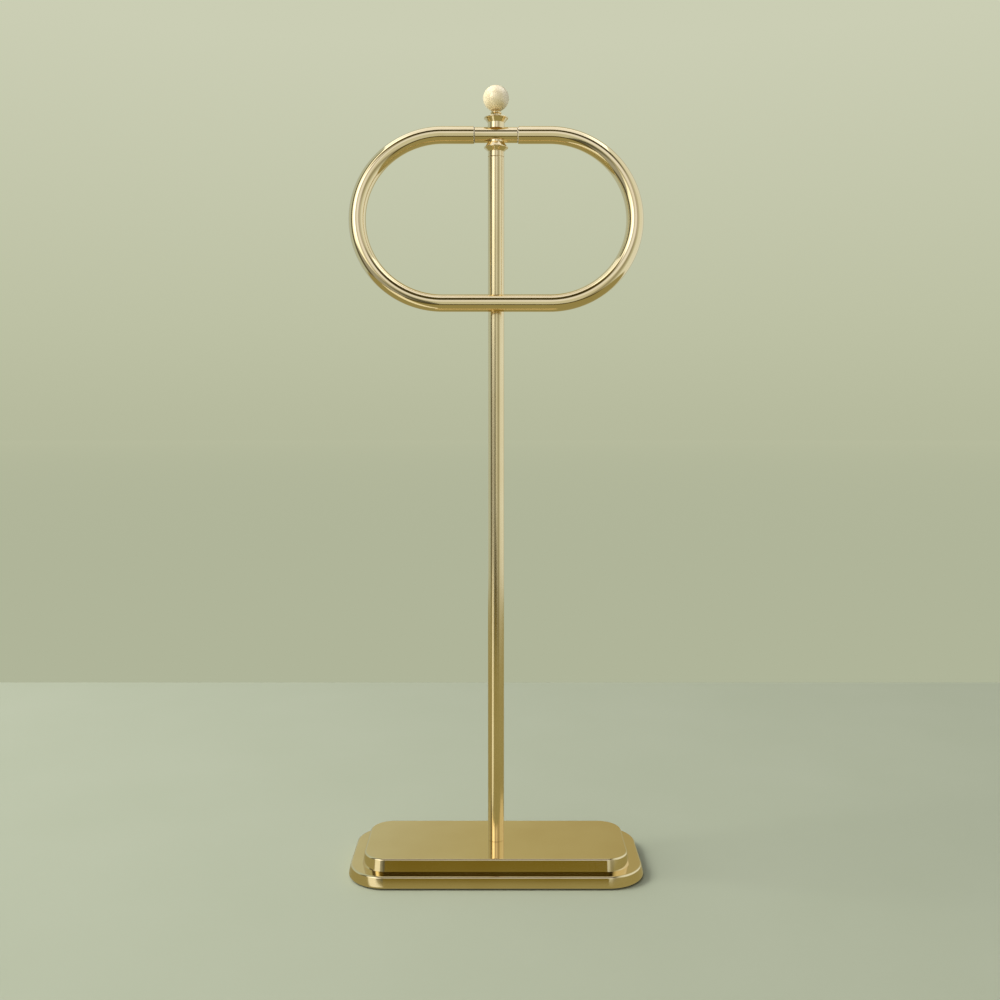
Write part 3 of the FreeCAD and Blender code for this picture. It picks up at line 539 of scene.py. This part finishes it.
def round_rim(piece, low):
    """Rounds the outer edge of a shell's open side."""
    reach = SHELL_WALL / 2
    half_width, half_depth = (side / 2 for side in LOWER_TIER_SIZE)
    corner = LOWER_CORNER_RADIUS

    def on_rim(edge):
        for vertex in edge.verts:
            x, y = abs(vertex.co.x), abs(vertex.co.y)
            over_x, over_y = x - (half_width - corner), y - (half_depth - corner)
            out = math.hypot(max(over_x, 0), max(over_y, 0))
            if vertex.co.z > low + reach / 2 or out < corner - reach:
                return False
        return True

    bpy.ops.object.mode_set(mode="EDIT")
    select_where(piece, "EDGE", on_rim)
    roll = TIER_RIM_RADIUS / math.tan((math.pi / 2 - TIER_DRAFT) / 2)
    bpy.ops.mesh.bevel(offset=roll, segments=RIM_STEPS, affect="EDGES", profile=0.5)
    bpy.ops.object.mode_set(mode="OBJECT")


base_brass = polished_brass("buffed_brass_plate", 0.09, (0.04, 1, 1))
lower_shell = press_tier("lower_shell", "base_lower_tier", 0)
round_rim(lower_shell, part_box("base_lower_tier")[0].z)
finish_piece(lower_shell, "lower_shell", "stand", base_brass, "base_lower_tier")
upper_shell = press_tier("upper_shell", "base_upper_tier", TIER_STEP)
finish_piece(upper_shell, "upper_shell", "stand", base_brass, "base_upper_tier")

# ---- Pole --------------------------------------------------------------------------------------
# Drawn brass tube, 19 mm across, stood on the upper tier. It was polished as it turned, so the
# marks run round it and draw its reflections out lengthwise.
POLE_RADIUS = 9.5 * MM
POLE_WALL = 1.2 * MM
POLE_EDGE = 0.4 * MM
ROUND_STEPS = 96

pole_low, pole_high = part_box("pole_tube")
bpy.ops.mesh.primitive_circle_add(
    vertices=ROUND_STEPS, radius=POLE_RADIUS, location=(0, 0, pole_low.z)
)
pole = bpy.context.object
bpy.ops.object.transform_apply(location=True, rotation=True, scale=True)
bpy.ops.object.mode_set(mode="EDIT")
bpy.ops.mesh.select_all(action="SELECT")
height = pole_high.z - pole_low.z
bpy.ops.mesh.extrude_region_move(TRANSFORM_OT_translate={"value": (0, 0, height)})
bpy.ops.mesh.select_all(action="SELECT")
bpy.ops.mesh.normals_make_consistent(inside=False)
bpy.ops.object.mode_set(mode="OBJECT")
apply_modifier(pole, "SOLIDIFY", thickness=POLE_WALL, offset=-1, use_even_offset=True)
pole_brass = polished_brass("tube_brass", 0.15, (0.05, 0.05, 1), 0.85, "Z")
finish_piece(pole, "pole", "stand", pole_brass, "pole_tube", edge=POLE_EDGE)

# ---- Turned fittings ---------------------------------------------------------------------------
# Cap, collars and neck, all turned from brass bar and threaded on one steel stud: a cap in the
# pole's end, a beaded collar under the cross bar, a saucer over it, and a reel under the ball.
STUD_BORE = 3.25 * MM
SADDLE_DEPTH = 2 * MM
BAR_RADIUS = 9 * MM
BAR_FIT_GAP = 0.03 * MM
BAR_CUT_REACH = 40 * MM
FITTING_EDGE = 0.15 * MM
FINE_EDGE = 0.12 * MM
RIM_ARC_STEPS = 12


def arc(centre_radius, centre_height, radius, start, stop, steps):
    """Points of a section's arc, as (radius, height), from one angle to another in degrees."""
    points = []
    for i in range(steps + 1):
        angle = math.radians(start + (stop - start) * i / steps)
        outward = centre_radius + radius * math.cos(angle)
        points.append((outward, centre_height + radius * math.sin(angle)))
    return points


def turn(section, base):
    """A turned ring: a circle drawn up through the section's steps and closed down its bore."""
    first_radius, first_height = section[0]
    bpy.ops.mesh.primitive_circle_add(
        vertices=ROUND_STEPS, radius=first_radius, location=(0, 0, base + first_height)
    )
    piece = bpy.context.object
    bpy.ops.object.transform_apply(location=True, rotation=True, scale=True)
    bpy.ops.object.mode_set(mode="EDIT")
    bpy.ops.mesh.select_all(action="SELECT")
    for (radius, height), (next_radius, next_height) in zip(section, section[1:]):
        lift = (0, 0, next_height - height)
        bpy.ops.mesh.extrude_region_move(TRANSFORM_OT_translate={"value": lift})
        grow = next_radius / radius
        centre = (0, 0, base + next_height)
        bpy.ops.transform.resize(value=(grow, grow, 1), center_override=centre)
    select_where(piece, "EDGE", lambda e: e.is_boundary)
    bpy.ops.mesh.bridge_edge_loops()
    bpy.ops.mesh.select_all(action="SELECT")
    bpy.ops.mesh.normals_make_consistent(inside=False)
    bpy.ops.object.mode_set(mode="OBJECT")
    return piece


def cut_round(piece, radius, start, end):
    """Cuts a round hole or hollow from one point to another."""
    start, end = Vector(start), Vector(end)
    bpy.ops.mesh.primitive_cylinder_add(
        vertices=ROUND_STEPS, radius=radius, depth=(end - start).length,
        location=(start + end) / 2, rotation=(end - start).to_track_quat("Z", "Y").to_euler(),
    )
    cutter = bpy.context.object
    apply_modifier(piece, "BOOLEAN", operation="DIFFERENCE", object=cutter, solver="EXACT")
    bpy.data.objects.remove(cutter)


def bed_on_bar(piece):
    """Hollows a collar so that it sits round the cross bar."""
    reach = Vector((BAR_CUT_REACH, 0, 0))
    middle = Vector((0, 0, BAR_HEIGHT))
    cut_round(piece, BAR_RADIUS + BAR_FIT_GAP, middle - reach, middle + reach)


bar_low, bar_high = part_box("cross_bar")
BAR_HEIGHT = (bar_low.z + bar_high.z) / 2
BAR_LENGTH = bar_high.x - bar_low.x
turned_brass = polished_brass("turned_brass", 0.10, (0.05, 0.05, 1))

CAP_HEAD_RADIUS = 9.5 * MM
CAP_GROOVE_RADIUS = 8.7 * MM
CAP_SPIGOT_RADIUS = 8.27 * MM
CAP_GROOVE_LOW = 20 * MM
CAP_GROOVE_HIGH = 20.7 * MM
CAP_EDGE = 0.4 * MM
CAP_ARC_STEPS = 5
cap_low, cap_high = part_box("pole_cap")
cap_top = cap_high.z - cap_low.z
cap = turn(
    [
        (STUD_BORE, 0),
        (CAP_SPIGOT_RADIUS, 0),
        (CAP_SPIGOT_RADIUS, CAP_GROOVE_LOW),
        (CAP_GROOVE_RADIUS, CAP_GROOVE_LOW),
        (CAP_GROOVE_RADIUS, CAP_GROOVE_HIGH),
        (CAP_HEAD_RADIUS, CAP_GROOVE_HIGH),
        *arc(CAP_HEAD_RADIUS - CAP_EDGE, cap_top - CAP_EDGE, CAP_EDGE, 0, 90, CAP_ARC_STEPS),
        (STUD_BORE, cap_top),
    ],
    cap_low.z,
)
finish_piece(cap, "pole_end_cap", "stand", pole_brass, "pole_cap", edge=FINE_EDGE)

RIM_MIDDLE_RADIUS = 13.2 * MM
RIM_RADIUS = 0.9 * MM
COLLAR_FOOT_RADIUS = 9.7 * MM
BEAD_NECK_RADIUS = 9.1 * MM
BEAD_NECK_HEIGHT = 0.8 * MM
BEAD_RIM_HEIGHT = 5.4 * MM
BEAD_CONE_TOP = 11.1 * MM
bead_low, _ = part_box("lower_bead")
bead_top = BEAD_CONE_TOP + SADDLE_DEPTH
bead = turn(
    [
        (STUD_BORE, 0),
        (BEAD_NECK_RADIUS, 0),
        (BEAD_NECK_RADIUS, BEAD_NECK_HEIGHT),
        *arc(RIM_MIDDLE_RADIUS, BEAD_RIM_HEIGHT, RIM_RADIUS, -90, 90, RIM_ARC_STEPS),
        (COLLAR_FOOT_RADIUS, BEAD_CONE_TOP),
        (COLLAR_FOOT_RADIUS, bead_top),
        (STUD_BORE, bead_top),
    ],
    bead_low.z,
)
bed_on_bar(bead)
finish_piece(bead, "beaded_collar", "stand", turned_brass, "lower_bead", edge=FITTING_EDGE)

SAUCER_CONE_START = 6.8 * MM
SAUCER_RIM_HEIGHT = 12.3 * MM
SAUCER_TOP_RADIUS = 4.8 * MM
SAUCER_HEIGHT = 15.7 * MM
_, saucer_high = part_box("upper_collar")
saucer = turn(
    [
        (STUD_BORE, 0),
        (COLLAR_FOOT_RADIUS, 0),
        (COLLAR_FOOT_RADIUS, SAUCER_CONE_START),
        *arc(RIM_MIDDLE_RADIUS, SAUCER_RIM_HEIGHT, RIM_RADIUS, -90, 90, RIM_ARC_STEPS),
        (SAUCER_TOP_RADIUS, SAUCER_HEIGHT),
        (STUD_BORE, SAUCER_HEIGHT),
    ],
    saucer_high.z - SAUCER_HEIGHT,
)
bed_on_bar(saucer)
finish_piece(saucer, "saucer_collar", "stand", turned_brass, "upper_collar", edge=FITTING_EDGE)

NECK_RADIUS = 4.8 * MM
REEL_RADIUS = 1.35 * MM
REEL_MIDDLE_RADIUS = 5.25 * MM
neck_low, neck_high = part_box("finial_neck")
neck_top = neck_high.z - neck_low.z
neck = turn(
    [
        (STUD_BORE, 0),
        (NECK_RADIUS, 0),
        (NECK_RADIUS, neck_top / 4),
        *arc(REEL_MIDDLE_RADIUS, neck_top / 2, REEL_RADIUS, -90, 90, RIM_ARC_STEPS),
        (NECK_RADIUS, neck_top * 0.75),
        (NECK_RADIUS, neck_top),
        (STUD_BORE, neck_top),
    ],
    neck_low.z,
)
finish_piece(neck, "reel_neck", "stand", turned_brass, "finial_neck", edge=FINE_EDGE)

# ---- Ball finial -------------------------------------------------------------------------------
# A turned brass ball under a milky satin lacquer, flat where it sits on the neck and bored from
# below for the stud's end.
BALL_RADIUS = 15 * MM
BALL_BORE = 3.05 * MM
BALL_BORE_DEPTH = 14 * MM
BALL_RINGS = 64
SATIN_LIGHT = (0.97, 0.80, 0.50)
SATIN_DEEP = (0.94, 0.77, 0.47)


def satin_brass():
    """Brass under a lacquer that takes part of the light as matt paint does."""
    material, tree, shader, place = new_material("satin_brass")
    cloud = add_noise(tree, place, 60, 3)
    tone = add_ramp(tree, cloud, [(0.35, SATIN_DEEP), (0.68, SATIN_LIGHT)])
    tree.links.new(tone, shader["Base Color"])
    shader["Metallic"].default_value = 0.4
    tree.links.new(add_range(tree, cloud, 0.3, 0.7, 0.42, 0.46), shader["Roughness"])
    grain = add_noise(tree, place, 1200, 2)
    tree.links.new(add_bump(tree, grain, 0.05, 0.00002), shader["Normal"])
    return material


ball_low, ball_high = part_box("finial_ball")
bpy.ops.mesh.primitive_uv_sphere_add(
    segments=ROUND_STEPS, ring_count=BALL_RINGS, radius=BALL_RADIUS,
    location=(0, 0, ball_high.z - BALL_RADIUS),
)
ball = bpy.context.object
bpy.ops.object.transform_apply(location=True, rotation=True, scale=True)
bpy.ops.object.mode_set(mode="EDIT")
bpy.ops.mesh.select_all(action="SELECT")
bpy.ops.mesh.bisect(
    plane_co=(0, 0, ball_low.z), plane_no=(0, 0, 1), clear_inner=True, use_fill=True
)
bpy.ops.object.mode_set(mode="OBJECT")
cut_round(ball, BALL_BORE, (0, 0, ball_low.z - MM), (0, 0, ball_low.z + BALL_BORE_DEPTH))
finish_piece(ball, "ball_finial", "stand", satin_brass(), "finial_ball")

# ---- Cross bar ---------------------------------------------------------------------------------
# Short brass bar, cross-drilled for the stud and tapped at each end for the pins that the ring
# swings on. Its ends are bevelled.
BAR_BEVEL = 0.5 * MM
PIN_BORE = 4.05 * MM
PIN_BORE_DEPTH = 14 * MM

bpy.ops.mesh.primitive_cylinder_add(
    vertices=ROUND_STEPS, radius=BAR_RADIUS, depth=BAR_LENGTH,
    location=(0, 0, BAR_HEIGHT), rotation=(0, math.pi / 2, 0),
)
bar = bpy.context.object
bpy.ops.object.transform_apply(location=True, rotation=True, scale=True)
bpy.ops.object.mode_set(mode="EDIT")
select_where(bar, "EDGE", lambda e: abs(e.verts[0].co.x - e.verts[1].co.x) < BAR_BEVEL)
bpy.ops.mesh.bevel(offset=BAR_BEVEL, segments=3, affect="EDGES")
bpy.ops.object.mode_set(mode="OBJECT")
for side in (-1, 1):
    end = BAR_LENGTH / 2 * side
    bore_end = end - PIN_BORE_DEPTH * side
    cut_round(bar, PIN_BORE, (end + MM * side, 0, BAR_HEIGHT), (bore_end, 0, BAR_HEIGHT))
cut_round(bar, STUD_BORE, (0, 0, bar_low.z - MM), (0, 0, bar_high.z + MM))
bar_brass = polished_brass("bar_brass", 0.10, (0.1, 1, 1), 0.5, "X")
finish_piece(bar, "pivot_bar", "stand", bar_brass, "cross_bar")

# ---- Towel ring --------------------------------------------------------------------------------
# One brass tube bent into a long oval, open at the top, where its two ends run on the pins of
# the cross bar. It hangs against the front of the pole.
RING_TUBE_RADIUS = 10 * MM
RING_WALL = 1 * MM
RING_END = 26 * MM
RING_STRAIGHT = 62 * MM
RING_BEND = 99 * MM
RING_REST_GAP = 0.3 * MM
RING_EDGE = 0.15 * MM
MERGE_DISTANCE = 0.01 * MM
RING_STEPS = 64
BEND_STEPS = 96

bpy.ops.mesh.primitive_circle_add(
    vertices=RING_STEPS, radius=RING_TUBE_RADIUS, location=(RING_END, 0, 0),
    rotation=(0, math.pi / 2, 0),
)
ring = bpy.context.object
bpy.ops.object.transform_apply(location=True, rotation=True, scale=True)
bpy.ops.object.mode_set(mode="EDIT")
bpy.ops.mesh.select_all(action="SELECT")
run = RING_STRAIGHT - RING_END
# the right end's run, its bend, the long lower bar, the left bend, and the left end's run
bpy.ops.mesh.extrude_region_move(TRANSFORM_OT_translate={"value": (run, 0, 0)})
for side, next_run in ((1, -RING_STRAIGHT * 2), (-1, run)):
    bpy.ops.mesh.spin(
        steps=BEND_STEPS, angle=-math.pi, axis=(0, 1, 0),
        center=(RING_STRAIGHT * side, 0, -RING_BEND),
    )
    bpy.ops.mesh.extrude_region_move(TRANSFORM_OT_translate={"value": (next_run, 0, 0)})
bpy.ops.mesh.select_all(action="SELECT")
bpy.ops.mesh.remove_doubles(threshold=MERGE_DISTANCE)
bpy.ops.mesh.normals_make_consistent(inside=False)
bpy.ops.object.mode_set(mode="OBJECT")
apply_modifier(ring, "SOLIDIFY", thickness=RING_WALL, offset=-1, use_even_offset=True)
reach = POLE_RADIUS + RING_TUBE_RADIUS + RING_REST_GAP
ring.rotation_euler = (-math.asin(reach / (RING_BEND * 2)), 0, 0)
ring.location = (0, 0, BAR_HEIGHT)
ring_brass = polished_brass("ring_brass", 0.08)
finish_piece(ring, "oval_ring", "ring", ring_brass, "towel_ring", edge=RING_EDGE)

# ---- Bushes ------------------------------------------------------------------------------------
# Flanged nylon bushes pushed into the ends of the ring's tube. Only the thin flange shows, as the
# seam between the ring and the cross bar.
BUSH_BORE = 6.05 * MM
BUSH_SLEEVE_RADIUS = 8.97 * MM
BUSH_FLANGE_RADIUS = 9.6 * MM
BUSH_FLANGE = 0.8 * MM
BUSH_LENGTH = 11.3 * MM
BUSH_EDGE = 0.1 * MM
NYLON_PALE = (0.74, 0.68, 0.54)
NYLON_DARK = (0.66, 0.60, 0.47)


def moulded_nylon():
    material, tree, shader, place = new_material("moulded_nylon")
    cloud = add_noise(tree, place, 300, 3)
    tone = add_ramp(tree, cloud, [(0.3, NYLON_DARK), (0.7, NYLON_PALE)])
    tree.links.new(tone, shader["Base Color"])
    shader["Roughness"].default_value = 0.42
    shader["Subsurface Weight"].default_value = 0.1
    shader["Subsurface Radius"].default_value = (0.002, 0.002, 0.001)
    grain = add_noise(tree, place, 2500, 2)
    tree.links.new(add_bump(tree, grain, 0.2, 0.0001), shader["Normal"])
    return material


nylon = moulded_nylon()
for hand, side in (("right", 1), ("left", -1)):
    bush = turn(
        [
            (BUSH_BORE, 0),
            (BUSH_FLANGE_RADIUS, 0),
            (BUSH_FLANGE_RADIUS, BUSH_FLANGE),
            (BUSH_SLEEVE_RADIUS, BUSH_FLANGE),
            (BUSH_SLEEVE_RADIUS, BUSH_LENGTH),
            (BUSH_BORE, BUSH_LENGTH),
        ],
        0,
    )
    bush.rotation_euler = (0, math.pi / 2 * side, 0)
    bush.location = ((RING_END - BUSH_FLANGE) * side, 0, BAR_HEIGHT)
    finish_piece(bush, f"{hand}_bush", "ring", nylon, f"{hand}_ring_bush", BUSH_EDGE)

# ---- Foot pads ---------------------------------------------------------------------------------
# Four moulded rubber discs, stuck under the cover near its corners. They lift the base 2 mm off
# the floor, and their lower edges are rounded.
PAD_RADIUS = 9 * MM
PAD_EDGE = 0.5 * MM
PAD_STEPS = 48
RUBBER_BLACK = (0.012, 0.012, 0.012)
RUBBER_GREY = (0.028, 0.027, 0.026)


def moulded_rubber():
    material, tree, shader, place = new_material("moulded_rubber")
    cloud = add_noise(tree, place, 240, 4)
    tone = add_ramp(tree, cloud, [(0.3, RUBBER_BLACK), (0.7, RUBBER_GREY)])
    tree.links.new(tone, shader["Base Color"])
    shader["Roughness"].default_value = 0.75
    tree.links.new(add_bump(tree, cloud, 0.4, 0.0002), shader["Normal"])
    return material


pads_low, pads_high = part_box("foot_pads")
pad_x, pad_y = pads_high.x - PAD_RADIUS, pads_high.y - PAD_RADIUS
pads = []
for x in (-pad_x, pad_x):
    for y in (-pad_y, pad_y):
        bpy.ops.mesh.primitive_cylinder_add(
            vertices=PAD_STEPS, radius=PAD_RADIUS, depth=pads_high.z - pads_low.z,
            location=(x, y, (pads_high.z + pads_low.z) / 2),
        )
        pads.append(bpy.context.object)
        bpy.ops.object.mode_set(mode="EDIT")
        select_where(pads[-1], "EDGE", lambda e: e.verts[0].co.z < 0 and e.verts[1].co.z < 0)
        bpy.ops.mesh.bevel(offset=PAD_EDGE, segments=3, affect="EDGES")
        bpy.ops.object.mode_set(mode="OBJECT")
only(pads[0])
for pad in pads:
    pad.select_set(True)
bpy.ops.object.join()
finish_piece(pads[0], "rubber_pads", "stand", moulded_rubber(), "foot_pads")

# ---- Inside the base and the joints ------------------------------------------------------------
# Steel, iron and sheet pieces that the brass hides: they keep their own form, and each gets the
# finish of its stock.


def rough_metal(name, dark, light, roughness, grain_scale, relief, metallic=1.0):
    """Metal with a cloudy tone and a grain of its own."""
    material, tree, shader, place = new_material(name)
    cloud = add_noise(tree, place, grain_scale / 12, 4)
    tree.links.new(add_ramp(tree, cloud, [(0.3, dark), (0.7, light)]), shader["Base Color"])
    shader["Metallic"].default_value = metallic
    rough = add_range(tree, cloud, 0.3, 0.7, roughness * 0.85, roughness * 1.15)
    tree.links.new(rough, shader["Roughness"])
    grain = add_noise(tree, place, grain_scale, 4)
    tree.links.new(add_bump(tree, grain, 0.5, relief), shader["Normal"])
    return material


zinc_plate = rough_metal(
    "zinc_plate", (0.50, 0.51, 0.52), (0.64, 0.65, 0.63), 0.32, 1500, 0.00003
)
cast_iron = rough_metal(
    "painted_cast_iron", (0.035, 0.036, 0.038), (0.075, 0.076, 0.078), 0.62, 700, 0.0004, 0.0
)
powder_coat = rough_metal(
    "black_powder_coat", (0.016, 0.016, 0.017), (0.030, 0.030, 0.031), 0.48, 1800, 0.00008, 0.0
)
INNER_FINISHES = (
    (cast_iron, ("ballast_slab",)),
    (powder_coat, ("bottom_cover",)),
    (zinc_plate, (
        "base_spacer", "tier_bosses", "tier_screws", "cover_screws", "pole_bolt",
        "pole_bolt_washer", "pole_bolt_spring_washer", "pole_foot_plug", "finial_stud",
        "right_pivot_pin", "left_pivot_pin",
    )),
)
for material, nodes in INNER_FINISHES:
    for node in nodes:
        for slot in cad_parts[node].material_slots:
            slot.link = "OBJECT"
            slot.material = material
